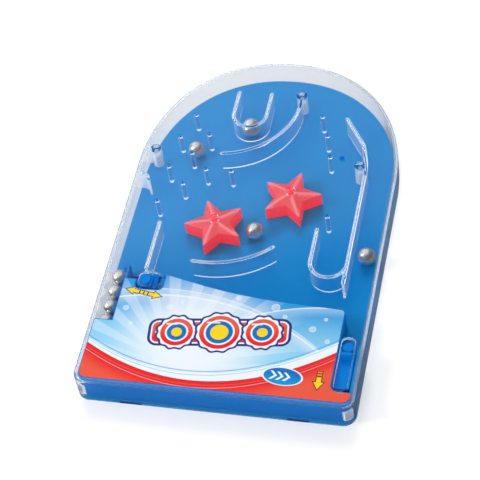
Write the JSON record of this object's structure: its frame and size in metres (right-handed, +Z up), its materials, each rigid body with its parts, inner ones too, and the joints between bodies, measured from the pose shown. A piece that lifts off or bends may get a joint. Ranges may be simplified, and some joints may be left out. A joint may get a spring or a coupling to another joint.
{
  "type": "tabletop pinball game",
  "caption": "Flat toy pinball game: clear arched cover with pins and rails over a blue playfield, star spinners, steel balls, spring plunger and a sliding ball lock.",
  "frame": {"origin": "on the table, under the middle of the case's outline", "axes": "+Y along the case, away from the player, towards the arch; +X to the player's right; +Z up"},
  "size_m": [0.15, 0.241, 0.018],
  "materials": {
    "blue_plastic": "moulded satin",
    "clear_plastic": "clear, glossy",
    "red_plastic": "moulded gloss",
    "ball_steel": "polished",
    "wire_steel": "zinc plated",
    "printed_sheet": "printed, glossy"
  },
  "bodies": {
    "case": {"base_tray": "blue_plastic", "clear_cover": "clear_plastic", "front_deck": "blue_plastic", "label_sheet": "printed_sheet", "star_axle_left": "clear_plastic", "star_axle_right": "clear_plastic", "plunger_spring": "wire_steel", "cover_screw_1": "wire_steel", "cover_screw_2": "wire_steel", "cover_screw_3": "wire_steel", "deck_screw_left": "wire_steel", "deck_screw_right": "wire_steel"},
    "star_left": {"star_left": "red_plastic"},
    "star_right": {"star_right": "red_plastic"},
    "plunger": {"plunger": "blue_plastic"},
    "lock": {"lock_gate": "blue_plastic", "lock_button": "blue_plastic"},
    "ball_cup": {"ball_cup": "ball_steel"},
    "ball_pins": {"ball_pins": "ball_steel"},
    "ball_star": {"ball_star": "ball_steel"},
    "ball_lane": {"ball_lane": "ball_steel"},
    "ball_store_1": {"ball_store_1": "ball_steel"},
    "ball_store_2": {"ball_store_2": "ball_steel"},
    "ball_store_3": {"ball_store_3": "ball_steel"},
    "ball_store_4": {"ball_store_4": "ball_steel"}
  },
  "joints": [
    {"name": "star_left_spin", "type": "hinge", "parent": "case", "child": "star_left", "pos_m": [-0.0222, -0.00301, 0.008], "axis": [0, 0, 1], "continuous": true},
    {"name": "star_right_spin", "type": "hinge", "parent": "case", "child": "star_right", "pos_m": [0.01695, 0.02135, 0.008], "axis": [0, 0, 1], "continuous": true},
    {"name": "plunger_slide", "type": "slide", "parent": "case", "child": "plunger", "axis": [0, -1, 0], "range_m": [0, 0.008], "stiffness_N_per_m": 120, "deforming": ["plunger_spring"]},
    {"name": "lock_slide", "type": "slide", "parent": "case", "child": "lock", "axis": [1, 0, 0], "range_m": [0, 0.0064]},
    {"name": "ball_cup_roll", "type": "slide", "parent": "case", "child": "ball_cup", "axis": [0, 1, 0], "range_m": [0, 0.0305]},
    {"name": "ball_pins_roll", "type": "slide", "parent": "case", "child": "ball_pins", "axis": [0, 1, 0], "range_m": [-0.0034, 0.0135]},
    {"name": "ball_star_roll", "type": "slide", "parent": "case", "child": "ball_star", "axis": [1, 0, 0], "range_m": [0, 0.028]},
    {"name": "ball_lane_roll", "type": "slide", "parent": "case", "child": "ball_lane", "axis": [-0.036, 0.9994, 0], "range_m": [-0.058, 0.05]},
    {"name": "ball_store_1_roll", "type": "slide", "parent": "case", "child": "ball_store_1", "axis": [0, 1, 0], "range_m": [-0.03, 0]},
    {"name": "ball_store_2_roll", "type": "slide", "parent": "case", "child": "ball_store_2", "axis": [0, 1, 0], "range_m": [-0.03, 0]},
    {"name": "ball_store_3_roll", "type": "slide", "parent": "case", "child": "ball_store_3", "axis": [0, 1, 0], "range_m": [-0.03, 0]},
    {"name": "ball_store_4_roll", "type": "slide", "parent": "case", "child": "ball_store_4", "axis": [0, 1, 0], "range_m": [-0.03, 0]}
  ],
  "couplings": [
    {"joint": "ball_store_2_roll", "follows": "ball_store_1_roll", "ratio": 1},
    {"joint": "ball_store_3_roll", "follows": "ball_store_1_roll", "ratio": 1},
    {"joint": "ball_store_4_roll", "follows": "ball_store_1_roll", "ratio": 1}
  ]
}
